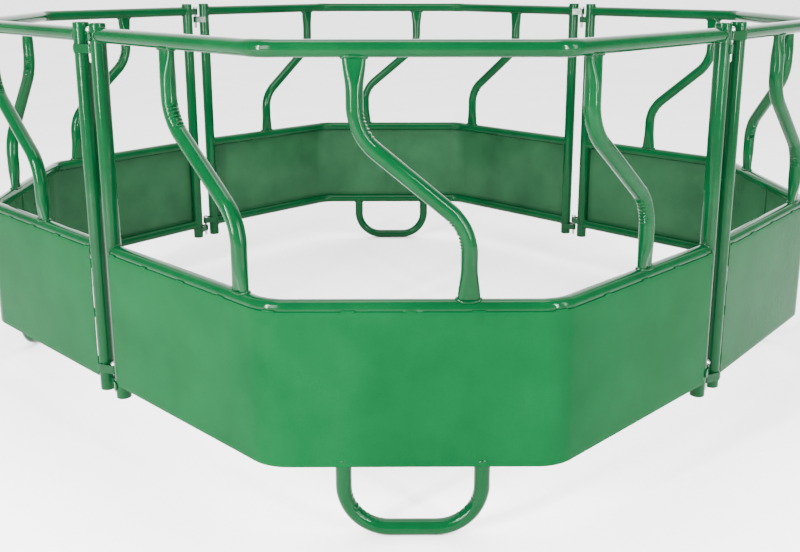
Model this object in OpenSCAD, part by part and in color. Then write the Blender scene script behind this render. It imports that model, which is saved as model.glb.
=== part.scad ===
// Round bale feeder: four bent-tube panels with a steel skirt, pinned together at four corners.
// Millimetres. The origin is the centre of the ring on the ground, +Z is up, and the front
// panel faces -Y. Left and right on a panel are as seen by someone standing outside the ring.

/* [Ring] */
// Distance across the ring, from the outside of one panel's rails to the opposite panel's
ring_d = 2438; // [2200:1:2750]
// Length of a panel's middle stretch, between the corners of its rails
centre_len = 600; // [500:1:700]
// Turn of the rails at each of a panel's two bends
bend_deg = 43.5; // [40:0.5:44.5]
// Radius of those bends, at the middle of the tube
bend_r = 90; // [70:1:120]
// How far the ring stands out of square, as the swing of its side panels
rack_deg = 2.8; // [-6:0.1:6]

/* [Heights] */
// Ground to the lower edge of the skirt
skirt_foot_z = 170; // [150:1:200]
// Ground to the middle of the rail along the skirt's top
middle_rail_z = 520; // [480:1:560]
// Ground to the middle of the top rail
top_rail_z = 1046; // [1000:1:1100]
// Ground to the lower end of the posts
post_foot_z = 133; // [125:1:140]
// Height that the posts stand above the top rail's middle
post_rise = 28; // [24:1:40]
// Distance from the skirt's upper edge down from the middle rail's middle
skirt_drop = 4; // [0:0.5:8]

/* [Tube] */
// Outside diameter of the rails, bars and leg loops
rail_d = 35; // [32:0.5:37]
// Outside diameter of the corner posts
post_d = 38; // [37:0.5:40]
// Wall thickness of all the tube
tube_wall = 2; // [1.5:0.1:3]

/* [Feed bars] */
// Sideways step of a bar, from its foot on the middle rail to its top
bar_step = 229; // [200:1:250]
// Lean of a bar's straight middle away from upright
bar_lean = 50; // [45:1:55]
// Radius of a bar's two bends, at the middle of the tube
bar_bend_r = 115; // [100:1:125]
// Distance along the panel between neighbouring bars
bar_pitch = 500; // [480:1:520]

/* [Leg loops] */
// Distance between the middles of a loop's two legs
loop_w = 296; // [260:1:340]
// Radius of a loop's lower corners, at the middle of the tube
loop_r = 100; // [80:1:110]

/* [Skirt] */
// Thickness of the skirt sheet
skirt_t = 2; // [1.5:0.1:3]
// Width of the upright stiffener inside the skirt
stiffener_w = 40; // [30:1:60]
// Thickness of the stiffener
stiffener_t = 4; // [3:0.5:6]

/* [Corner hinges] */
// Distance between the middles of the two posts at a corner
post_gap = 78; // [74:1:90]
// Height of a hinge strap
strap_h = 22; // [18:1:25]
// Thickness of a hinge strap
strap_t = 4; // [3:0.5:5]
// Height between the middles of a hinge's two straps
strap_pitch = 30; // [27:0.5:34]
// Middle of the upper strap of the hinge by the top rail, below the rail's middle
top_hinge_drop = 3; // [0:1:20]
// Middle of the upper strap of the hinge by the bottom rail, above the rail's middle
foot_hinge_rise = 9; // [4:1:16]
// Diameter of the drop pins
pin_d = 10; // [8:0.5:12]
// Gap between a pin and the eye that it hangs in
pin_clearance = 0.5; // [0.3:0.1:1]
// Length of pin that shows below the lower strap
pin_tail = 22; // [12:1:26]
// Diameter of a pin's head
head_d = 18; // [16:0.5:20]
// Height of a pin's head
head_h = 11; // [9:0.5:12]

/* [Hidden] */
$fn = 64;

// Tube radii
rail_r = rail_d / 2;
post_r = post_d / 2;
// How much each face of the wall draws in at a bend, and how far a bend laps into a straight
bend_draw = 0.05;
bend_lap_deg = 0.5;
// Middle of the bottom rail: the skirt's lower edge is level with the rail's underside
bottom_rail_z = skirt_foot_z + rail_r;
post_top_z = top_rail_z + post_rise;

// Plan of one panel. Its chord runs between its two pin axes, along X, and its middle
// stretch stands "bulge" outside that chord, on the -Y side.
ring_r = ring_d / 2 - rail_r;
wing_len = (ring_r - centre_len / 2) / (cos(bend_deg) + sin(bend_deg));
half_chord = centre_len / 2 + wing_len * cos(bend_deg);
bulge = wing_len * sin(bend_deg);
// Straight parts either side of a bend
bend_setback = bend_r * tan(bend_deg / 2);
half_straight = centre_len / 2 - bend_setback;
wing_straight = wing_len - bend_setback - post_gap / 2;
// The skirt stops short of the post, where the round post falls back behind the sheet
skirt_setback = 8;
// Flat steps that each bend of the skirt is made in
bend_steps = 12;

// Feed bar: straight middle, and the upright ends from the bends to the rails' middles
bar_straight = (bar_step - 2 * bar_bend_r * (1 - cos(bar_lean))) / sin(bar_lean);
bar_upright = (top_rail_z - middle_rail_z - 2 * bar_bend_r * sin(bar_lean)
  - bar_straight * cos(bar_lean)) / 2;

// Corner hinges
pin_r = pin_d / 2;
eye_r = pin_r + pin_clearance;
post_to_pin = post_gap / 2;
top_hinge_z = top_rail_z - top_hinge_drop;
foot_hinge_z = bottom_rail_z + foot_hinge_rise;
pin_tip_h = 4;
// The enamel between a pin's head and the strap that it hangs on
seat_gap = 0.1;

// ---- Placing: a panel is drawn on its chord and set down at one side of the ring ----

module front_panel() {
  translate([half_chord * sin(rack_deg), -half_chord * cos(rack_deg), 0]) children();
}

module right_panel() {
  translate([half_chord, 0, 0]) rotate([0, 0, 90 + rack_deg]) children();
}

module back_panel() {
  rotate([0, 0, 180]) front_panel() children();
}

module left_panel() {
  rotate([0, 0, 180]) right_panel() children();
}

// Moves a child from the middle of the panel's developed length to a place along it:
// x is measured along the rail, and the child's own X keeps running along the rail.
module along_panel(x) {
  corner = centre_len / 2;
  if (x > corner)
    translate([corner, -bulge, 0]) rotate([0, 0, bend_deg]) translate([x - corner, 0, 0]) children();
  else if (x < -corner)
    translate([-corner, -bulge, 0]) rotate([0, 0, -bend_deg]) translate([x + corner, 0, 0]) children();
  else
    translate([x, -bulge, 0]) children();
}

// Places a child at each end's post axis; the child's +X points to the corner's pin.
// side is -1 for the left post and 1 for the right one.
module at_post(side) {
  mirror([side < 0 ? 1 : 0, 0, 0])
    translate([half_chord, 0, 0])
      rotate([0, 0, bend_deg])
        translate([-post_to_pin, 0, 0]) children();
}

// ---- Shapes that several sub-parts use ----

// Ring section of a tube, its wall thinned by "draw" on both faces
module tube_section(r, draw = 0) {
  difference() {
    circle(r - draw);
    circle(r - tube_wall + draw);
  }
}

// Straight tube standing on the XY plane
module straight_tube(r, len) {
  linear_extrude(len) tube_section(r);
}

// Bend of a tube in the XZ plane, around the origin; angles run from +X towards +Z.
// Bending draws the wall in a little, and each end laps into the straight tube it meets.
module tube_bend(r, radius, from, turn) {
  rotate([90, 0, 0]) rotate([0, 0, from - bend_lap_deg])
    rotate_extrude(angle = turn + 2 * bend_lap_deg)
      translate([radius, 0]) tube_section(r, bend_draw);
}

// Plan of the right half of a skirt face that stands "off" outside the rails' middle line: points
// round the bend, then the end of the wing.
function skirt_edge(off) = concat(
  [
    for (i = [0:bend_steps])
      let (a = bend_deg * i / bend_steps)
        [half_straight, bend_r - bulge] + (bend_r + off) * [sin(a), -cos(a)]
  ],
  [
    [half_straight, bend_r - bulge] + (bend_r + off) * [sin(bend_deg), -cos(bend_deg)]
      + (wing_straight - skirt_setback) * [cos(bend_deg), sin(bend_deg)]
  ]
);

function reversed(points) = [for (i = [len(points) - 1:-1:0]) points[i]];

function mirrored(points) = [for (p = points) [-p.x, p.y]];

// ---- Sub-parts of a panel ----

// Rail: one tube with two bends, its ends coped to the posts
module rail(z) {
  color("seagreen")
    difference() {
      translate([0, 0, z]) {
        translate([-half_straight, -bulge, 0]) rotate([0, 90, 0]) straight_tube(rail_r, 2 * half_straight);
        for (side = [0, 1])
          mirror([side, 0, 0])
            translate([half_straight, bend_r - bulge, 0]) {
              rotate([-90, 0, 0]) tube_bend(rail_r, bend_r, -90, bend_deg);
              rotate([0, 0, bend_deg]) translate([0, -bend_r, 0])
                rotate([0, 90, 0]) straight_tube(rail_r, wing_straight);
            }
      }
      for (side = [-1, 1])
        at_post(side) translate([0, 0, z - rail_d]) cylinder(r = post_r, h = 2 * rail_d);
    }
}

module top_rail() {
  rail(top_rail_z);
}

module middle_rail() {
  rail(middle_rail_z);
}

module bottom_rail() {
  rail(bottom_rail_z);
}

// Skirt: one sheet bent round the outside of the two lower rails
module skirt() {
  inner = skirt_edge(rail_r);
  outer = skirt_edge(rail_r + skirt_t);
  color("mediumseagreen")
    translate([0, 0, skirt_foot_z])
      linear_extrude(middle_rail_z - skirt_drop - skirt_foot_z)
        polygon(concat(outer, reversed(inner), mirrored(inner), mirrored(reversed(outer))));
}

// Stiffener: upright flat bar on the inside of the skirt, coped to both rails
module skirt_stiffener() {
  color("seagreen")
    difference() {
      along_panel(0)
        translate([-stiffener_w / 2, -rail_r, bottom_rail_z])
          cube([stiffener_w, stiffener_t, middle_rail_z - bottom_rail_z]);
      for (z = [bottom_rail_z, middle_rail_z])
        along_panel(0)
          translate([-stiffener_w, 0, z]) rotate([0, 90, 0]) cylinder(r = rail_r, h = 2 * stiffener_w);
    }
}

// Post: open tube at a panel's end
module post(side) {
  color("seagreen")
    at_post(side) translate([0, 0, post_foot_z]) straight_tube(post_r, post_top_z - post_foot_z);
}

module left_post() {
  post(-1);
}

module right_post() {
  post(1);
}

// Feed bar: S-bent tube between the middle and top rails, stepping to the right as it goes
// down, with both ends coped to the rails. x is its middle, along the panel.
module feed_bar(x) {
  bend_z = middle_rail_z + bar_upright;
  bend_top_z = top_rail_z - bar_upright;
  color("seagreen")
    along_panel(x)
      difference() {
        union() {
          translate([-bar_step / 2, 0, bend_top_z]) straight_tube(rail_r, bar_upright);
          translate([bar_bend_r - bar_step / 2, 0, bend_top_z])
            tube_bend(rail_r, bar_bend_r, 180, bar_lean);
          translate([bar_bend_r * (1 - cos(bar_lean)) - bar_step / 2, 0,
            bend_top_z - bar_bend_r * sin(bar_lean)])
            rotate([0, 180 - bar_lean, 0]) straight_tube(rail_r, bar_straight);
          translate([bar_step / 2 - bar_bend_r, 0, bend_z])
            tube_bend(rail_r, bar_bend_r, 0, bar_lean);
          translate([bar_step / 2, 0, middle_rail_z]) straight_tube(rail_r, bar_upright);
        }
        for (z = [middle_rail_z, top_rail_z])
          translate([-bar_step, 0, z]) rotate([0, 90, 0]) cylinder(r = rail_r, h = 2 * bar_step);
      }
}

module left_bar() {
  feed_bar(-bar_pitch);
}

module centre_bar() {
  feed_bar(0);
}

module right_bar() {
  feed_bar(bar_pitch);
}

// Leg loop: U of tube under the bottom rail, which the panel stands on
module leg_loop() {
  corner_x = loop_w / 2 - loop_r;
  corner_z = rail_r + loop_r;
  color("seagreen")
    along_panel(0)
      difference() {
        union() {
          for (side = [-1, 1])
            mirror([side < 0 ? 1 : 0, 0, 0]) {
              translate([loop_w / 2, 0, corner_z]) straight_tube(rail_r, bottom_rail_z - corner_z);
              translate([corner_x, 0, corner_z]) tube_bend(rail_r, loop_r, -90, 90);
              translate([0, 0, rail_r]) rotate([0, 90, 0]) straight_tube(rail_r, corner_x);
            }
        }
        translate([-loop_w, 0, bottom_rail_z]) rotate([0, 90, 0]) cylinder(r = rail_r, h = 2 * loop_w);
      }
}

// Outline of a hinge strap's outer or inner face: half round the post, straight to the eye
// and round it. grow is 0 for the inner face and the strap's thickness for the outer one.
module strap_outline(grow) {
  big = post_r + grow;
  small = eye_r + grow;
  slope = asin((big - small) / post_to_pin);
  tangent = [sin(slope), cos(slope)];
  intersection() {
    circle(big);
    translate([0, -big]) square([big, 2 * big]);
  }
  polygon([
    [big * tangent.x, big * tangent.y],
    [post_to_pin + small * tangent.x, small * tangent.y],
    [post_to_pin + small * tangent.x, -small * tangent.y],
    [big * tangent.x, -big * tangent.y]
  ]);
  translate([post_to_pin, 0]) circle(small);
}

// Hinge strap: bent round the pin's eye, its two legs welded to the sides of the post
module hinge_strap(side, z) {
  at_post(side)
    translate([0, 0, z - strap_h / 2])
      linear_extrude(strap_h)
        difference() {
          strap_outline(strap_t);
          strap_outline(0);
        }
}

// The four straps of a panel. The left post has the upper strap of its top hinge and the
// lower strap of its foot hinge, and the right post the other two.
module hinge_straps() {
  color("seagreen") {
    hinge_strap(-1, top_hinge_z);
    hinge_strap(1, top_hinge_z - strap_pitch);
    hinge_strap(1, foot_hinge_z);
    hinge_strap(-1, foot_hinge_z - strap_pitch);
  }
}

// Drop pin with a domed head, hanging on the upper strap of a hinge
module drop_pin(z) {
  head_z = z + strap_h / 2 + seat_gap;
  tip_z = z - strap_pitch - strap_h / 2 - pin_tail;
  rim_h = head_h / 3;
  dome_h = head_h - rim_h;
  dome_r = (pow(head_d / 2, 2) + pow(dome_h, 2)) / (2 * dome_h);
  color("silver")
    translate([half_chord, 0, 0]) {
      translate([0, 0, tip_z]) cylinder(r1 = pin_r / 2, r2 = pin_r, h = pin_tip_h);
      translate([0, 0, tip_z + pin_tip_h]) cylinder(r = pin_r, h = head_z - tip_z - pin_tip_h);
      translate([0, 0, head_z])
        rotate_extrude()
          intersection() {
            translate([0, head_h - dome_r]) circle(dome_r);
            square([head_d / 2, head_h]);
          }
    }
}

module top_pin() {
  drop_pin(top_hinge_z);
}

module foot_pin() {
  drop_pin(foot_hinge_z);
}

// ---- The nodes ----

front_panel() top_rail();  // front_top_rail
front_panel() middle_rail();  // front_middle_rail
front_panel() bottom_rail();  // front_bottom_rail
front_panel() skirt();  // front_skirt
front_panel() skirt_stiffener();  // front_skirt_stiffener
front_panel() left_post();  // front_left_post
front_panel() right_post();  // front_right_post
front_panel() left_bar();  // front_left_bar
front_panel() centre_bar();  // front_centre_bar
front_panel() right_bar();  // front_right_bar
front_panel() leg_loop();  // front_leg_loop
front_panel() hinge_straps();  // front_hinge_straps

right_panel() top_rail();  // right_top_rail
right_panel() middle_rail();  // right_middle_rail
right_panel() bottom_rail();  // right_bottom_rail
right_panel() skirt();  // right_skirt
right_panel() skirt_stiffener();  // right_skirt_stiffener
right_panel() left_post();  // right_left_post
right_panel() right_post();  // right_right_post
right_panel() left_bar();  // right_left_bar
right_panel() centre_bar();  // right_centre_bar
right_panel() right_bar();  // right_right_bar
right_panel() leg_loop();  // right_leg_loop
right_panel() hinge_straps();  // right_hinge_straps

back_panel() top_rail();  // back_top_rail
back_panel() middle_rail();  // back_middle_rail
back_panel() bottom_rail();  // back_bottom_rail
back_panel() skirt();  // back_skirt
back_panel() skirt_stiffener();  // back_skirt_stiffener
back_panel() left_post();  // back_left_post
back_panel() right_post();  // back_right_post
back_panel() left_bar();  // back_left_bar
back_panel() centre_bar();  // back_centre_bar
back_panel() right_bar();  // back_right_bar
back_panel() leg_loop();  // back_leg_loop
back_panel() hinge_straps();  // back_hinge_straps

left_panel() top_rail();  // left_top_rail
left_panel() middle_rail();  // left_middle_rail
left_panel() bottom_rail();  // left_bottom_rail
left_panel() skirt();  // left_skirt
left_panel() skirt_stiffener();  // left_skirt_stiffener
left_panel() left_post();  // left_left_post
left_panel() right_post();  // left_right_post
left_panel() left_bar();  // left_left_bar
left_panel() centre_bar();  // left_centre_bar
left_panel() right_bar();  // left_right_bar
left_panel() leg_loop();  // left_leg_loop
left_panel() hinge_straps();  // left_hinge_straps

front_panel() top_pin();  // front_right_top_pin
front_panel() foot_pin();  // front_right_foot_pin
right_panel() top_pin();  // back_right_top_pin
right_panel() foot_pin();  // back_right_foot_pin
back_panel() top_pin();  // back_left_top_pin
back_panel() foot_pin();  // back_left_foot_pin
left_panel() top_pin();  // front_left_top_pin
left_panel() foot_pin();  // front_left_foot_pin
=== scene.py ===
"""The looks of a round bale feeder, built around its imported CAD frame.

Metres, +Z up. The origin is the centre of the ring on the ground, and the front panel faces -Y. Every
panel is drawn once, on the chord between its two pins: X runs from the left pin to the right one and the
outside is towards -Y. It is then set down at its own side of the ring.
"""
import math
import random

import bpy
from mathutils import Matrix, Vector, noise


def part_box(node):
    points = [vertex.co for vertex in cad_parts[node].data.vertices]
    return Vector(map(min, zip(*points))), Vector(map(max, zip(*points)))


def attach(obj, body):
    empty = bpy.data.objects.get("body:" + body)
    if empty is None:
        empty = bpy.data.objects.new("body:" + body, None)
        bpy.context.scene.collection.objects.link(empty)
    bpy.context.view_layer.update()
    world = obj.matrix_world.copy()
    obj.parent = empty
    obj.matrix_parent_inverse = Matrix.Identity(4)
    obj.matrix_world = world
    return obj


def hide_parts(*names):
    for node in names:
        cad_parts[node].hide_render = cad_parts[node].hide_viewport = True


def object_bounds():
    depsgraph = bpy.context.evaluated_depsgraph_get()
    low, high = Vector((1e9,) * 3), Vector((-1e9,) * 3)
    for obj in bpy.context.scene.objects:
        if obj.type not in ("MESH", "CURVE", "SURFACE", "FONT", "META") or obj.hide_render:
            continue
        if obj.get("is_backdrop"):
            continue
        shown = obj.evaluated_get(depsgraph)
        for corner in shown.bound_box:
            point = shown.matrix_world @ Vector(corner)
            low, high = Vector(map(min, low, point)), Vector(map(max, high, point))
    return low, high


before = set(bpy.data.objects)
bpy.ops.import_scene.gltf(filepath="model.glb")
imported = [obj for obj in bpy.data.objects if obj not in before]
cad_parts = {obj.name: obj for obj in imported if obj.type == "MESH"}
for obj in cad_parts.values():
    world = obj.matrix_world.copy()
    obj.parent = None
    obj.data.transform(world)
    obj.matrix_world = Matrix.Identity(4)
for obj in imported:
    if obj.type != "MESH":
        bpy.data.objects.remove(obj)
cad_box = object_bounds()

# ---- Sizes ----

PANELS = {
    "front": ("front_left", "front_right"),
    "right": ("front_right", "back_right"),
    "back": ("back_right", "back_left"),
    "left": ("back_left", "front_left"),
}


def middle(node):
    low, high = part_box(node)
    return (low + high) / 2


def pin_place(corner):
    """Where a corner's pin axis stands on the ground."""
    place = middle(f"{corner}_top_pin")
    place.z = 0
    return place


def panel_matrix(panel):
    """Sets a panel's chord down between its two pins."""
    left, right = (pin_place(corner) for corner in PANELS[panel])
    along = (right - left).normalized()
    up = Vector((0, 0, 1))
    turn = Matrix((along, up.cross(along), up)).transposed().to_4x4()
    return Matrix.Translation((left + right) / 2) @ turn


top_low, top_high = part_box("front_top_rail")
RAIL_R = (top_high.z - top_low.z) / 2
TOP_Z = middle("front_top_rail").z
MIDDLE_Z = middle("front_middle_rail").z
BOTTOM_Z = middle("front_bottom_rail").z
HALF_CHORD = (pin_place("front_right") - pin_place("front_left")).length / 2
BULGE = pin_place("front_left").y - top_low.y - RAIL_R

post_low, post_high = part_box("front_right_post")
POST_R = (post_high.x - post_low.x) / 2
POST_WALL = 0.002
POST_TO_PIN = (pin_place("front_right") - middle("front_right_post")).xy
BEND = math.atan2(POST_TO_PIN.y, POST_TO_PIN.x)
POST_GAP = 2 * POST_TO_PIN.length

# Half of the panel's middle stretch, and one wing, both measured to the corner of the rails' middle line
CENTRE_HALF = HALF_CHORD - BULGE / math.tan(BEND)
WING = BULGE / math.sin(BEND)
BEND_R = 0.090
SETBACK = BEND_R * math.tan(BEND / 2)
HALF_STRAIGHT = CENTRE_HALF - SETBACK
BEND_LEN = BEND_R * BEND
WING_STRAIGHT = WING - SETBACK - POST_GAP / 2

skirt_low, skirt_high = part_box("front_skirt")
SKIRT_FOOT = skirt_low.z
SKIRT_TOP = skirt_high.z
SKIRT_T = top_low.y - skirt_low.y
SKIRT_SETBACK = 0.008

bar_low, bar_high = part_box("front_centre_bar")
BAR_STEP = bar_high.x - bar_low.x - 2 * RAIL_R
BAR_LEAN = math.radians(50)
BAR_BEND_R = 0.115
BAR_PITCH = 0.500
BARS = {"left_bar": -BAR_PITCH, "centre_bar": 0.0, "right_bar": BAR_PITCH}

loop_low, loop_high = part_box("front_leg_loop")
LOOP_HALF = (loop_high.x - loop_low.x) / 2 - RAIL_R
LOOP_R = 0.100

STRAP_H = 0.022
STRAP_PITCH = 0.030
TOP_HINGE_DROP = 0.003
FOOT_HINGE_RISE = 0.009
STIFFENER_HALF = 0.020
STIFFENER_T = 0.004

# ---- Materials ----


def new_material(name):
    """A material with a Principled shader, and that shader, ready to be wired."""
    material = bpy.data.materials.new(name)
    material.use_nodes = True
    return material, material.node_tree, material.node_tree.nodes["Principled BSDF"]


def noise_node(tree, scale, detail, roughness=0.5):
    """Noise over the object's own coordinates, so that it moves with the piece."""
    place = tree.nodes.new("ShaderNodeTexCoord")
    node = tree.nodes.new("ShaderNodeTexNoise")
    node.inputs["Scale"].default_value = scale
    node.inputs["Detail"].default_value = detail
    node.inputs["Roughness"].default_value = roughness
    tree.links.new(place.outputs["Object"], node.inputs["Vector"])
    return node.outputs["Fac"]


def ramp_node(tree, factor, stops):
    """A colour ramp over factor; stops are (position, colour)."""
    node = tree.nodes.new("ShaderNodeValToRGB")
    tree.links.new(factor, node.inputs["Fac"])
    first, last = node.color_ramp.elements
    for element, (position, colour) in zip((first, last), stops):
        element.position = position
        element.color = (*colour, 1)
    return node.outputs["Color"]


def range_node(tree, factor, low, high):
    """Noise of about 0.3 to 0.7 spread over low to high."""
    node = tree.nodes.new("ShaderNodeMapRange")
    node.inputs["From Min"].default_value = 0.3
    node.inputs["From Max"].default_value = 0.7
    node.inputs["To Min"].default_value = low
    node.inputs["To Max"].default_value = high
    tree.links.new(factor, node.inputs["Value"])
    return node.outputs["Result"]


def mix_colour(tree, blend, factor, first, second):
    """One colour over another."""
    node = tree.nodes.new("ShaderNodeMix")
    node.data_type = "RGBA"
    node.blend_type = blend
    node.inputs["Factor"].default_value = factor
    tree.links.new(first, node.inputs["A"])
    tree.links.new(second, node.inputs["B"])
    return node.outputs["Result"]


def bump_node(tree, height, depth, strength, below=None):
    """A bump of that depth in metres, on top of another bump."""
    node = tree.nodes.new("ShaderNodeBump")
    node.inputs["Distance"].default_value = depth
    node.inputs["Strength"].default_value = strength
    tree.links.new(height, node.inputs["Height"])
    if below:
        tree.links.new(below, node.inputs["Normal"])
    return node.outputs["Normal"]


def enamel(name, thin, thick, gloss, glint):
    """Green gloss enamel: cloudy where the coat is thin or thick, with an orange-peel surface. gloss is
    the least roughness and glint how strongly it mirrors the studio."""
    material, tree, shader = new_material(name)
    clouds = ramp_node(tree, noise_node(tree, 7, 4, 0.6), ((0.3, thin), (0.7, thick)))
    specks = ramp_node(tree, noise_node(tree, 420, 2), ((0.35, (0.80, 0.84, 0.80)), (0.6, (1, 1, 1))))
    tree.links.new(mix_colour(tree, "MULTIPLY", 0.6, clouds, specks), shader.inputs["Base Color"])
    shine = range_node(tree, noise_node(tree, 18, 5, 0.7), gloss, gloss + 0.10)
    tree.links.new(shine, shader.inputs["Roughness"])
    sag = bump_node(tree, noise_node(tree, 28, 2), 0.0012, 0.25)
    peel = bump_node(tree, noise_node(tree, 260, 2), 0.00025, 0.35, sag)
    tree.links.new(peel, shader.inputs["Normal"])
    shader.inputs["Specular IOR Level"].default_value = glint
    return material


def zinc(name):
    """Dull zinc plate on a turned steel pin, with a faint spangle and some handling marks."""
    material, tree, shader = new_material(name)
    tint = ramp_node(
        tree, noise_node(tree, 90, 5, 0.7), ((0.3, (0.26, 0.26, 0.25)), (0.7, (0.50, 0.50, 0.48)))
    )
    tree.links.new(tint, shader.inputs["Base Color"])
    shader.inputs["Metallic"].default_value = 1.0
    tree.links.new(range_node(tree, noise_node(tree, 300, 4), 0.24, 0.46), shader.inputs["Roughness"])
    tree.links.new(bump_node(tree, noise_node(tree, 700, 3), 0.0002, 0.4), shader.inputs["Normal"])
    return material


# Tubes, welds and sheet wear the same enamel; the tube paint, and the weld paint that follows it, are darker
# copies of the sheet paint, as painted shade
TUBE_PAINT = enamel("tube_paint", (0.0006, 0.023, 0.0063), (0.0009, 0.032, 0.0089), 0.05, 0.08)
SHEET_PAINT = enamel("sheet_paint", (0.0010, 0.032, 0.0088), (0.0015, 0.041, 0.0116), 0.12, 0.014)
# A lighter, greyer copy of the sheet paint for the faces inside the ring: painted sheen on the same enamel
# as outside
SHEET_PAINTED_SHEEN = enamel("sheet_painted_sheen", (0.007, 0.034, 0.0140), (0.012, 0.049, 0.0205), 0.14, 0.05)
WELD_PAINT = enamel("weld_paint", (0.0006, 0.021, 0.0058), (0.0009, 0.030, 0.0084), 0.08, 0.10)
PIN_ZINC = zinc("pin_zinc")

# ---- Meshes ----

RING_POINTS = 40
STRAIGHT_STEP = 0.015
BEND_STEP = 0.0016
SHARP_EDGE = math.radians(50)


def add_skin(mesh, rings, closed=False):
    """Adds the skin over a row of rings to mesh, a (points, faces) pair. closed joins the last ring to
    the first; otherwise both ends are capped."""
    points, faces = mesh
    start, count = len(points), len(rings[0])
    for ring in rings:
        points.extend(ring)
    last = len(rings) - 1
    for row in range(len(rings) if closed else last):
        here = start + row * count
        there = start + (row + 1) % len(rings) * count
        for k in range(count):
            after = (k + 1) % count
            faces.append((here + k, here + after, there + after, there + k))
    if not closed:
        faces.append(tuple(reversed(range(start, start + count))))
        faces.append(tuple(range(start + last * count, start + (last + 1) * count)))


def make_piece(name, mesh, body, material, nodes=()):
    """Makes a piece of a (points, faces) pair, which rides on body and stands for nodes."""
    data = bpy.data.meshes.new(name)
    data.from_pydata(mesh[0], [], mesh[1])
    data.validate()
    data.shade_smooth()
    data.set_sharp_from_angle(angle=SHARP_EDGE)
    data.materials.append(material)
    piece = bpy.data.objects.new(name, data)
    bpy.context.scene.collection.objects.link(piece)
    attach(piece, body)
    if nodes:
        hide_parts(*nodes)
    return piece


def smooth(t):
    """0 to 1 with soft ends, as t goes from 0 to 1."""
    t = min(max(t, 0.0), 1.0)
    return t * t * (3 - 2 * t)


def walk(place, heading, legs):
    """Steps along a flat path from place. A leg is ("straight", length) or ("bend", radius, turn), and a
    bend turns to the left. Yields (place, heading, depth, travelled): depth is 0 on a straight, and in a
    bend it rises to 1 and falls again, with the sign of the turn."""
    x, y = place
    travelled = 0.0
    for leg in legs:
        radius, turn = (leg[1], leg[2]) if leg[0] == "bend" else (0.0, 0.0)
        length = abs(radius * turn) or leg[1]
        steps = max(2, round(length / (BEND_STEP if turn else STRAIGHT_STEP)))
        for i in range(steps):
            share = i / steps
            depth = math.copysign(smooth(4 * min(share, 1 - share)), turn) if turn else 0.0
            yield (x, y), heading, depth, travelled
            middle_heading = heading + turn / steps / 2
            x += length / steps * math.cos(middle_heading)
            y += length / steps * math.sin(middle_heading)
            heading += turn / steps
            travelled += length / steps
    yield (x, y), heading, 0.0, travelled


# Depth of the grooves down a pressed tube's two faces, and their width as a share of the tube's
PINCH = 0.0022
PINCH_WIDTH = 0.28


def tube_ring(plane, place, heading, half_u, half_v, power=2.0, crease=(1, 0.0), cope=None, pinch=0.0):
    """One ring of a tube whose path lies in plane, u to the left of the path and v out of the plane.
    crease is (1 for the left or -1 for the right, how far that side is pushed out), and pinch is the
    depth of the grooves down the middle of both faces."""
    along = (math.cos(heading), math.sin(heading))
    points = []
    for k in range(RING_POINTS):
        a = 2 * math.pi * k / RING_POINTS
        c, s = math.cos(a), math.sin(a)
        u = half_u * math.copysign(abs(c) ** (2 / power), c)
        v = half_v * math.copysign(abs(s) ** (2 / power), s)
        v -= math.copysign(pinch * math.exp(-((c / PINCH_WIDTH) ** 2)), s)
        if c * crease[0] > 0:
            u += crease[0] * crease[1] * abs(c) ** 3
        w = cope(u, v) if cope else 0.0
        x = place[0] - along[1] * u + along[0] * w
        y = place[1] + along[0] * u + along[1] * w
        points.append(plane @ Vector((x, y, v)))
    return points


def wrinkle(seed, depth, travelled, pitch, height):
    """How far the inside of a bend is pushed in or out: uneven ridges across the tube, from cold bending."""
    if not depth:
        return 0.0
    at = travelled / pitch
    drift = 0.6 * noise.noise((at * 0.45, seed, 0.5))
    rise = 0.55 + 0.9 * noise.noise((at * 0.7, seed, 9.5))
    return height * abs(depth) * rise * math.sin(2 * math.pi * (at + drift))


# Clear space between a coped end and the next ring
END_CLEAR = 0.002
ROUND_ENDS = (0.0, 1.0, 1.0, 2.0)


def bent_tube(plane, place, heading, legs, seed, cope, ridges, flare=ROUND_ENDS):
    """The rings of a bent tube between two others that its ends are coped to. In a bend it goes a
    little oval and its inside wrinkles: ridges is the pitch and the height of that. flare is the length
    over which each end is pressed to another section, that section's two half widths as shares of the
    radius, and its squareness."""
    stations = list(walk(place, heading, legs))
    total = stations[-1][3]
    reach, wide, thin, square = flare
    clear = RAIL_R + END_CLEAR
    rings = []
    for at, turn_to, depth, travelled in stations:
        to_end = min(travelled, total - travelled)
        if clear > to_end > 0:
            continue
        press = 1 - smooth((to_end - RAIL_R) / reach) if reach else 0.0
        oval = abs(depth)
        half_u = RAIL_R * (1 - 0.05 * oval) * (1 + (wide - 1) * press)
        half_v = RAIL_R * (1 + 0.03 * oval) * (1 + (thin - 1) * press)
        crease = (math.copysign(1, depth), -wrinkle(seed, depth, travelled, *ridges))
        end = None
        if to_end == 0:
            end = cope if travelled == 0 else (lambda u, v: -cope(u, v))
        power = 2 + (square - 2) * press
        pinch = PINCH * smooth(2 * press - 0.6)
        rings.append(tube_ring(plane, at, turn_to, half_u, half_v, power, crease, end, pinch))
    return rings


def resample(points, step, closed):
    """The same line with its points one step apart."""
    line = points + points[:1] if closed else points
    lengths = [(b - a).length for a, b in zip(line, line[1:])]
    total = sum(lengths)
    count = max(3, round(total / step))
    result, i, done = [], 0, 0.0
    for k in range(count if closed else count + 1):
        want = total * k / count
        while i < len(lengths) - 1 and done + lengths[i] < want:
            done += lengths[i]
            i += 1
        result.append(line[i].lerp(line[i + 1], min(1.0, (want - done) / max(lengths[i], 1e-9))))
    return result


BEAD_POINTS = 10
BEAD_STEP = 0.0012
BEAD_RIPPLE = 0.0035
RIPPLE_SHARE = 0.09
UNEVEN_SHARE = 0.30


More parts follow.
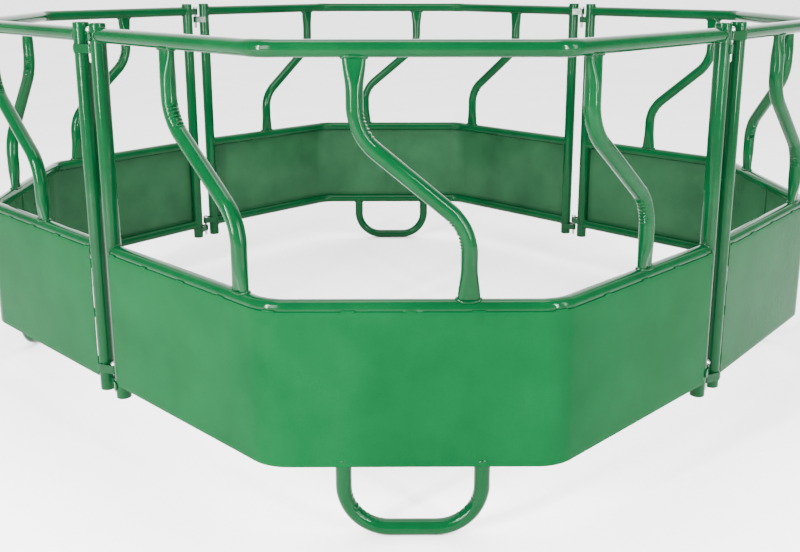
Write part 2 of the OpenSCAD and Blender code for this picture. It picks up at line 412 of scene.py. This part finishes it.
def add_bead(mesh, points, radius, rng, closed=False):
    """Adds a weld bead along points: rippled, a little uneven, and rounded off at open ends."""
    line = resample(points, BEAD_STEP, closed)
    count = len(line)
    phase = rng.uniform(0, 2 * math.pi)
    rings, across = [], None
    for i, here in enumerate(line):
        ahead = line[(i + 1) % count] if closed else line[min(i + 1, count - 1)]
        behind = line[i - 1] if closed or i else line[0]
        along = (ahead - behind).normalized()
        across = across or along.orthogonal().normalized()
        across = (across - along * across.dot(along)).normalized()
        other = along.cross(across)
        to_end = min(i, count - 1 - i) * BEAD_STEP
        blunt = 1.0 if closed else math.sqrt(max(0.02, 1 - max(0, 1 - to_end / radius) ** 2))
        ripple = RIPPLE_SHARE * math.sin(2 * math.pi * i * BEAD_STEP / BEAD_RIPPLE + phase)
        size = radius * blunt * (1 + ripple + UNEVEN_SHARE * noise.noise(here * 90))
        rings.append(
            [
                here + size * (math.cos(a) * across + math.sin(a) * other)
                for a in (2 * math.pi * k / BEAD_POINTS for k in range(BEAD_POINTS))
            ]
        )
    add_skin(mesh, rings, closed)


LATHE_POINTS = 48


def lathe(centre, profile):
    """Rings round a vertical axis at centre, one for each (radius, height) of the profile."""
    return [
        [
            Vector((centre.x + r * math.cos(a), centre.y + r * math.sin(a), z))
            for a in (2 * math.pi * k / LATHE_POINTS for k in range(LATHE_POINTS))
        ]
        for r, z in profile
    ]


# ---- The plan of a panel ----


def to_run(x):
    """Turns a distance along the panel, measured round its sharp corner, into one round the bend."""
    return x if abs(x) < CENTRE_HALF else math.copysign(abs(x) - 2 * SETBACK + BEND_LEN, x)


def on_panel(run, out=0.0, height=0.0):
    """The point at that run along the rails' middle line, that far outside it."""
    side, d = math.copysign(1, run), abs(run)
    turn = min(max((d - HALF_STRAIGHT) / BEND_R, 0.0), BEND)
    spare = max(0.0, d - HALF_STRAIGHT - BEND_LEN)
    x = min(d, HALF_STRAIGHT) + (BEND_R + out) * math.sin(turn) + spare * math.cos(turn)
    y = BEND_R - BULGE - (BEND_R + out) * math.cos(turn) + spare * math.sin(turn)
    return Vector((side * x, y, height))


def panel_frame(run):
    """Axes on the rails' middle line: X along the rail, Y into the ring, Z up."""
    turn = min(max((abs(run) - HALF_STRAIGHT) / BEND_R, 0.0), BEND)
    turn = math.copysign(turn, run)
    return Matrix.Translation(on_panel(run)) @ Matrix.Rotation(turn, 4, "Z")


# Turns a flat path's own plane upright: its X stays along the rail and its Y goes up
UPRIGHT = Matrix.Rotation(math.pi / 2, 4, "X")
POST_RUN = HALF_STRAIGHT + BEND_LEN + WING_STRAIGHT
SKIRT_RUN = POST_RUN - SKIRT_SETBACK

# ---- Pieces of a panel ----


COPE_SINK = 0.001


def cope_to(radius, axis):
    """Coping against another tube: axis is 0 if that tube crosses the path's plane, as a post does a
    rail's, and 1 if it lies in the plane. The end sinks a little into that tube's wall."""
    sunk = radius - COPE_SINK

    def cope(u, v):
        off = min(abs((u, v)[axis]), sunk)
        return math.sqrt(sunk**2 - off**2)

    return cope


# Pitch and height of the wrinkles inside the bends
RAIL_RIDGES = (0.011, 0.0007)
BAR_RIDGES = (0.0095, 0.0027)
LOOP_RIDGES = (0.013, 0.0009)


def rail_rings(place, height, seed):
    """A rail, from the left post to the right one."""
    plane = place @ Matrix.Translation((0, 0, height))
    start = on_panel(-POST_RUN)
    legs = (
        ("straight", WING_STRAIGHT),
        ("bend", BEND_R, BEND),
        ("straight", 2 * HALF_STRAIGHT),
        ("bend", BEND_R, BEND),
        ("straight", WING_STRAIGHT),
    )
    cope = cope_to(POST_R, 0)
    return bent_tube(plane, start.xy, -BEND, legs, seed, cope, RAIL_RIDGES)


BAR_STRAIGHT = (BAR_STEP - 2 * BAR_BEND_R * (1 - math.cos(BAR_LEAN))) / math.sin(BAR_LEAN)
BAR_UPRIGHT = (
    TOP_Z - MIDDLE_Z - 2 * BAR_BEND_R * math.sin(BAR_LEAN) - BAR_STRAIGHT * math.cos(BAR_LEAN)
) / 2
# How a bar's ends are pressed: over this length, to these shares of the radius, and this squareness
BAR_FLARE = (0.065, 1.36, 0.60, 2.5)


def bar_rings(place, x, seed):
    """A feed bar, from the top rail down to the middle rail."""
    plane = place @ panel_frame(to_run(x)) @ UPRIGHT
    legs = (
        ("straight", BAR_UPRIGHT),
        ("bend", BAR_BEND_R, BAR_LEAN),
        ("straight", BAR_STRAIGHT),
        ("bend", BAR_BEND_R, -BAR_LEAN),
        ("straight", BAR_UPRIGHT),
    )
    top = (-BAR_STEP / 2, TOP_Z)
    cope = cope_to(RAIL_R, 1)
    return bent_tube(plane, top, -math.pi / 2, legs, seed, cope, BAR_RIDGES, BAR_FLARE)


def loop_rings(place, seed):
    """A leg loop, down from the bottom rail and up to it again."""
    plane = place @ panel_frame(0) @ UPRIGHT
    leg = BOTTOM_Z - RAIL_R - LOOP_R
    legs = (
        ("straight", leg),
        ("bend", LOOP_R, math.pi / 2),
        ("straight", 2 * (LOOP_HALF - LOOP_R)),
        ("bend", LOOP_R, math.pi / 2),
        ("straight", leg),
    )
    cope = cope_to(RAIL_R, 1)
    return bent_tube(plane, (-LOOP_HALF, BOTTOM_Z), -math.pi / 2, legs, seed, cope, LOOP_RIDGES)


# Height of the plain collar at each end of a post
POST_COLLAR = 0.02


def post_rings(place, side):
    """An open post: its outer wall, its lips and its bore."""
    foot, top = post_low.z, post_high.z
    centre = place @ panel_frame(side * POST_RUN).translation
    lip = POST_WALL / 2
    arc = [math.pi * i / 6 for i in range(7)]
    middle_r = POST_R - lip
    profile = [(middle_r + lip * math.cos(a), top - lip + lip * math.sin(a)) for a in arc]
    profile += [(POST_R - POST_WALL, z) for z in (top - POST_COLLAR, foot + POST_COLLAR)]
    profile += [(middle_r - lip * math.cos(a), foot + lip - lip * math.sin(a)) for a in arc]
    steps = 12
    tall = top - foot - 2 * POST_COLLAR
    profile += [(POST_R, foot + POST_COLLAR + tall * i / steps) for i in range(steps + 1)]
    return lathe(centre, profile)


SKIRT_WAVE = 0.0009


def skirt_rings(place, seed):
    """The skirt: sheet with rounded cut edges, not quite flat between the two rails that hold it."""
    rows = 26
    edge = SKIRT_T / 2
    mid = RAIL_R + edge
    lip = [math.pi * i / 6 for i in range(1, 6)]
    shares = [i / rows for i in range(rows + 1)]
    tall = SKIRT_TOP - SKIRT_FOOT - SKIRT_T
    rings = []
    for run in skirt_runs():
        face = [(sheet_wave(run, share, seed), SKIRT_FOOT + edge + tall * share) for share in shares]
        section = [(RAIL_R + wave, height) for wave, height in face]
        section += [(mid - edge * math.cos(a), SKIRT_TOP - edge + edge * math.sin(a)) for a in lip]
        section += [(RAIL_R + SKIRT_T + wave, height) for wave, height in reversed(face)]
        section += [(mid + edge * math.cos(a), SKIRT_FOOT + edge - edge * math.sin(a)) for a in lip]
        rings.append([place @ on_panel(run, out, height) for out, height in section])
    return rings


SKIRT_STEP = 0.014
SKIRT_BEND_STEP = 0.004
SKIRT_BEND_MARGIN = 0.010


def skirt_runs():
    """Stations along the skirt, close together round its two bends."""
    run = -SKIRT_RUN
    while run < SKIRT_RUN - 1e-6:
        yield run
        past = abs(run) - HALF_STRAIGHT
        bending = -SKIRT_BEND_MARGIN < past < BEND_LEN + SKIRT_BEND_MARGIN
        run += SKIRT_BEND_STEP if bending else SKIRT_STEP
    yield SKIRT_RUN


def sheet_wave(run, share, seed):
    """How far the sheet bellies in or out, at that share of its height."""
    held = smooth(min(share, 0.93 - share) / 0.25)
    slow = noise.noise((run * 3.1, share * 1.3, seed))
    quick = noise.noise((run * 9.0, share * 3.0, seed + 7))
    return SKIRT_WAVE * held * (1.6 * slow + 0.5 * quick)


# ---- Welds of a panel ----

# The straps' sides, -1 for the left post and 1 for the right, and their heights
STRAPS = (
    (-1, TOP_Z - TOP_HINGE_DROP),
    (1, TOP_Z - TOP_HINGE_DROP - STRAP_PITCH),
    (1, BOTTOM_Z + FOOT_HINGE_RISE),
    (-1, BOTTOM_Z + FOOT_HINGE_RISE - STRAP_PITCH),
)
# How far a bead's middle line stands off the tube it runs along and off the one it runs round
BEAD_LIFT = 0.0015
BEAD_CLEAR = 0.001
# The beads' radii
BAR_BEAD = 0.0034
LOOP_BEAD = 0.0032
RAIL_BEAD = 0.0030
STRAP_BEAD = 0.0026
STITCH_BEAD = 0.0023
SKIRT_END_BEAD = 0.0024
STIFFENER_BEAD = 0.0026

# A strap's beads: how far in past the post's axis, off the post's side, and short of the strap's edges
STRAP_BEAD_IN = 0.0012
STRAP_BEAD_OUT = 0.0018
STRAP_BEAD_SHORT = 0.003

# The skirt's stitches: their length, pitch and scatter, how far over the rail and over the sheet's top
# edge they lie, and where along its two upright edges
STITCH = 0.026
STITCH_PITCH = 0.145
STITCH_SCATTER = 0.012
STITCH_OUT = 0.0012
STITCH_UP = 0.0008
SKIRT_END_OUT = 0.0008
SKIRT_END_STITCHES = (0.12, 0.5, 0.88)

# The plug welds: pitch, scatter along and up, and least and greatest radius
SPOT_PITCH = 0.225
SPOT_SCATTER = (0.01, 0.003)
SPOT_SIZES = (0.0045, 0.0060)
# A plug weld's profile from its rim in: shares of its radius, and how far out of the sheet
SPOT_POINTS = 20
SPOT_PROFILE = ((1.0, -0.0006), (1.0, 0.0), (0.82, 0.0002), (0.5, 0.00035), (0.12, 0.0004))


def bar_weld(mesh, place, x, rng):
    """Beads round both ends of a feed bar."""
    plane = place @ panel_frame(to_run(x)) @ UPRIGHT
    _, wide, thin, square = BAR_FLARE
    half_u, half_v = RAIL_R * wide + BEAD_CLEAR, RAIL_R * thin + BEAD_CLEAR
    cope = cope_to(RAIL_R + BEAD_LIFT, 1)
    down = -math.pi / 2
    top = tube_ring(plane, (-BAR_STEP / 2, TOP_Z), down, half_u, half_v, square, cope=cope)
    foot = tube_ring(
        plane, (BAR_STEP / 2, MIDDLE_Z), down, half_u, half_v, square, cope=lambda u, v: -cope(u, v)
    )
    for line in (top, foot):
        add_bead(mesh, line, BAR_BEAD, rng, closed=True)


def loop_weld(mesh, place, rng):
    """Beads round both legs of the leg loop."""
    plane = place @ panel_frame(0) @ UPRIGHT
    cope = cope_to(RAIL_R + BEAD_LIFT, 1)
    for side in (-1, 1):
        at = (side * LOOP_HALF, BOTTOM_Z)
        line = tube_ring(plane, at, -math.pi / 2, RAIL_R, RAIL_R, cope=cope)
        add_bead(mesh, line, LOOP_BEAD, rng, closed=True)


def rail_weld(mesh, place, height, rng):
    """Beads round both ends of a rail, against the posts."""
    plane = place @ Matrix.Translation((0, 0, height))
    cope = cope_to(POST_R + BEAD_LIFT, 0)
    for side in (-1, 1):
        at = on_panel(side * POST_RUN).xy
        line = tube_ring(plane, at, side * BEND, RAIL_R, RAIL_R, cope=lambda u, v: -side * cope(u, v))
        add_bead(mesh, line, RAIL_BEAD, rng, closed=True)


def strap_weld(mesh, place, side, height, rng):
    """An upright bead at the end of each leg of a strap."""
    here = place @ panel_frame(side * POST_RUN)
    reach = STRAP_H / 2 - STRAP_BEAD_SHORT
    for across in (-1, 1):
        out = across * (POST_R + STRAP_BEAD_OUT)
        ends = [here @ Vector((-side * STRAP_BEAD_IN, out, height + up * reach)) for up in (-1, 1)]
        add_bead(mesh, ends, STRAP_BEAD, rng)


def skirt_weld(mesh, place, rng):
    """Stitches along the skirt's top edge and its two ends, and plug welds along the bottom rail."""
    stitches = int(SKIRT_RUN / STITCH_PITCH)
    for i in range(-stitches, stitches + 1):
        middle_run = i * STITCH_PITCH + rng.uniform(-STITCH_SCATTER, STITCH_SCATTER)
        half = STITCH / 2 * rng.uniform(0.8, 1.2)
        runs = [middle_run + half * k / 4 for k in range(-4, 5)]
        line = [place @ on_panel(run, RAIL_R + STITCH_OUT, SKIRT_TOP + STITCH_UP) for run in runs]
        add_bead(mesh, line, STITCH_BEAD, rng)
    for side in (-1, 1):
        for share in SKIRT_END_STITCHES:
            height = SKIRT_FOOT + (SKIRT_TOP - SKIRT_FOOT) * share
            line = [
                place @ on_panel(side * SKIRT_RUN, RAIL_R + SKIRT_END_OUT, height + up * STITCH / 2)
                for up in (-1, 1)
            ]
            add_bead(mesh, line, SKIRT_END_BEAD, rng)
    spots = int(SKIRT_RUN / SPOT_PITCH)
    along, up = SPOT_SCATTER
    for i in range(-spots, spots + 1):
        run = i * SPOT_PITCH + rng.uniform(-along, along)
        add_spot(mesh, place, run, BOTTOM_Z + rng.uniform(-up, up), rng)


def add_spot(mesh, place, run, height, rng):
    """Adds a plug weld: a low, uneven button on the outside of the skirt."""
    here = place @ panel_frame(run)
    size = rng.uniform(*SPOT_SIZES)
    skin = RAIL_R + SKIRT_T
    rings = []
    for share, out in SPOT_PROFILE:
        ring = []
        for k in range(SPOT_POINTS):
            a = 2 * math.pi * k / SPOT_POINTS
            uneven = 1 + 0.25 * noise.noise((math.cos(a), math.sin(a), run * 50))
            r = size * share * uneven
            ring.append(here @ Vector((r * math.cos(a), -skin - out, height + r * math.sin(a))))
        rings.append(ring)
    add_skin(mesh, rings)


def stiffener_weld(mesh, place, rng):
    """A bead across each end of the skirt's stiffener, in the corner with the rail."""
    inside = STIFFENER_T - RAIL_R
    reach = math.sqrt(RAIL_R**2 - inside**2)
    for height in (BOTTOM_Z + reach, MIDDLE_Z - reach):
        line = [place @ on_panel(x, -inside, height) for x in (-STIFFENER_HALF, STIFFENER_HALF)]
        add_bead(mesh, line, STIFFENER_BEAD, rng)


# ---- The feeder ----

# A panel's pieces of weld, and the paint over each
WELD_PAINTS = {
    "bar_welds": WELD_PAINT,
    "loop_welds": WELD_PAINT,
    "rail_welds": WELD_PAINT,
    "strap_welds": WELD_PAINT,
    "skirt_welds": SHEET_PAINT,
}


def build_panel(panel, seed):
    """All that is welded into one panel."""
    place = panel_matrix(panel)
    body = f"{panel}_panel"
    rng = random.Random(seed)
    for rail, height in (("top_rail", TOP_Z), ("middle_rail", MIDDLE_Z), ("bottom_rail", BOTTOM_Z)):
        tube(panel, rail, rail_rings(place, height, seed + height))
    for bar, x in BARS.items():
        tube(panel, bar, bar_rings(place, x, seed + x))
    tube(panel, "leg_loop", loop_rings(place, seed))
    for side, post in ((-1, "left_post"), (1, "right_post")):
        tube(panel, post, post_rings(place, side), closed=True)
    sheet = ([], [])
    add_skin(sheet, skirt_rings(place, seed))
    skirt = make_piece(
        f"{panel}_skirt_sheet", sheet, body, SHEET_PAINT, (f"{panel}_skirt",)
    )
    # The faces that look into the ring get a lighter, greyer copy of the sheet paint: a painted sheen,
    # standing in for the gloss's reflection inside the ring
    skirt.data.materials.append(SHEET_PAINTED_SHEEN)
    for face in skirt.data.polygons:
        face.material_index = int(face.normal.xy.dot(face.center.xy) < 0)

    welds = {name: ([], []) for name in WELD_PAINTS}
    for x in BARS.values():
        bar_weld(welds["bar_welds"], place, x, rng)
    loop_weld(welds["loop_welds"], place, rng)
    for height in (TOP_Z, MIDDLE_Z, BOTTOM_Z):
        rail_weld(welds["rail_welds"], place, height, rng)
    for side, height in STRAPS:
        strap_weld(welds["strap_welds"], place, side, height, rng)
    skirt_weld(welds["skirt_welds"], place, rng)
    stiffener_weld(welds["skirt_welds"], place, rng)
    for name, mesh in welds.items():
        make_piece(f"{panel}_{name}", mesh, body, WELD_PAINTS[name])


def tube(panel, name, rings, closed=False):
    """A tube of a panel, in place of its CAD node."""
    mesh = ([], [])
    add_skin(mesh, rings, closed)
    node = f"{panel}_{name}"
    make_piece(f"{node}_tube", mesh, f"{panel}_panel", TUBE_PAINT, (node,))


def soften(node, width, material):
    """Keeps a CAD node, with its edges eased and a better material."""
    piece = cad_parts[node]
    piece.data.materials.clear()
    piece.data.materials.append(material)
    bevel = piece.modifiers.new("eased_edges", "BEVEL")
    bevel.width = width
    bevel.segments = 3
    bevel.limit_method = "ANGLE"
    bevel.angle_limit = math.radians(40)


PIN_R = 0.005
PIN_HEAD_H = 0.011


def pin(node):
    """A drop pin: chamfered tip, plain shank and a domed head. The profile runs from the tip up."""
    low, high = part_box(node)
    head_r = (high.x - low.x) / 2
    seat = high.z - PIN_HEAD_H
    profile = [(0.0004, low.z), (PIN_R * 0.55, low.z + 0.0003), (PIN_R - 0.0003, low.z + 0.0038)]
    profile += [(PIN_R, low.z + 0.0046), (PIN_R, seat - 0.0008), (PIN_R + 0.0006, seat)]
    profile += [(head_r - 0.0012, seat), (head_r - 0.0003, seat + 0.0004), (head_r, seat + 0.0014)]
    rim = seat + 0.0034
    profile += [(head_r, rim)]
    steps = 10
    for i in range(1, steps):
        a = math.pi / 2 * i / steps
        profile.append((head_r * math.cos(a), rim + (high.z - rim) * math.sin(a)))
    profile.append((0.0004, high.z))
    mesh = ([], [])
    add_skin(mesh, lathe((low + high) / 2, profile))
    make_piece(f"{node}_turned", mesh, node, PIN_ZINC, (node,))


for number, name in enumerate(PANELS):
    build_panel(name, 11 + 5 * number)
    soften(f"{name}_hinge_straps", 0.0007, WELD_PAINT)
    # The stiffener inside the ring takes the painted sheen of the skirt's inside faces
    soften(f"{name}_skirt_stiffener", 0.0006, SHEET_PAINTED_SHEEN)
for corner in ("front_right", "back_right", "back_left", "front_left"):
    for end in ("top_pin", "foot_pin"):
        pin(f"{corner}_{end}")

# ---- Floor, light and camera ----


def floor():
    """A plain pale floor that runs out of sight."""
    half = 300
    data = bpy.data.meshes.new("floor")
    corners = [(x * half, y * half, 0) for x, y in ((-1, -1), (1, -1), (1, 1), (-1, 1))]
    data.from_pydata(corners, [], [(0, 1, 2, 3)])
    material, tree, shader = new_material("floor_paint")
    clouds = noise_node(tree, 1.5, 3)
    shade = ramp_node(tree, clouds, ((0.3, (0.86, 0.86, 0.86)), (0.7, (0.90, 0.90, 0.90))))
    tree.links.new(shade, shader.inputs["Base Color"])
    shader.inputs["Roughness"].default_value = 0.7
    data.materials.append(material)
    piece = bpy.data.objects.new("floor", data)
    bpy.context.scene.collection.objects.link(piece)
    piece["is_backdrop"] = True


def softbox(name, place, aim, size, power):
    """A soft light at place, turned to aim."""
    data = bpy.data.lights.new(name, "AREA")
    data.shape = "RECTANGLE"
    data.size, data.size_y = size
    data.energy = power
    lamp = bpy.data.objects.new(name, data)
    lamp.location = place
    lamp.rotation_euler = (Vector(aim) - Vector(place)).to_track_quat("-Z", "Y").to_euler()
    bpy.context.scene.collection.objects.link(lamp)


# The bright patch behind the feeder: how high its middle stands, and how wide its core and its edge are
PATCH_RISE = math.radians(48)
PATCH_CORE = math.radians(30)
PATCH_EDGE = math.radians(58)


def surround(low, high):
    """White light from all round: low, but for a great soft patch of high behind and above the feeder."""
    world = bpy.data.worlds.new("studio")
    world.use_nodes = True
    tree = world.node_tree
    place = tree.nodes.new("ShaderNodeTexCoord")
    toward = tree.nodes.new("ShaderNodeVectorMath")
    toward.operation = "DOT_PRODUCT"
    toward.inputs[1].default_value = (0, math.cos(PATCH_RISE), math.sin(PATCH_RISE))
    rise = tree.nodes.new("ShaderNodeMapRange")
    rise.interpolation_type = "SMOOTHSTEP"
    rise.inputs["From Min"].default_value = math.cos(PATCH_EDGE)
    rise.inputs["From Max"].default_value = math.cos(PATCH_CORE)
    rise.inputs["To Min"].default_value = low
    rise.inputs["To Max"].default_value = high
    tree.links.new(place.outputs["Generated"], toward.inputs[0])
    tree.links.new(toward.outputs["Value"], rise.inputs["Value"])
    tree.links.new(rise.outputs["Result"], tree.nodes["Background"].inputs["Strength"])
    tree.nodes["Background"].inputs["Color"].default_value = (1, 1, 1, 1)
    bpy.context.scene.world = world


floor()
surround(0.7, 6.5)
softbox("key", (-2.0, -3.8, 1.7), (0, 0, 0.7), (0.7, 2.2), 200)
softbox("key_strip", (-2.5, -3.4, 1.5), (0, 0, 0.7), (0.16, 2.2), 620)
softbox("fill", (3.3, -2.6, 1.7), (0, 0, 0.7), (0.5, 2.2), 130)
softbox("inside", (0, -0.8, 3.6), (0, 1.1, 0.3), (2.4, 1.2), 170)
softbox("fill_strip", (2.4, -3.5, 1.5), (0, 0, 0.7), (0.14, 2.2), 400)

PITCH = math.radians(13.1)
YAW = math.radians(0.41)
camera_data = bpy.data.cameras.new("camera")
camera_data.lens = 42.64
camera_data.shift_x = -0.0122
camera_data.shift_y = -0.10
camera = bpy.data.objects.new("camera", camera_data)
camera.location = (0.0175, -3.0404, 1.1822)
camera.rotation_euler = (math.pi / 2 - PITCH, 0, -YAW)
bpy.context.scene.collection.objects.link(camera)
bpy.context.scene.camera = camera

boxes = {"cad": cad_box, "visual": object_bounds()}
{name: [list(corner) for corner in box] for name, box in boxes.items()}
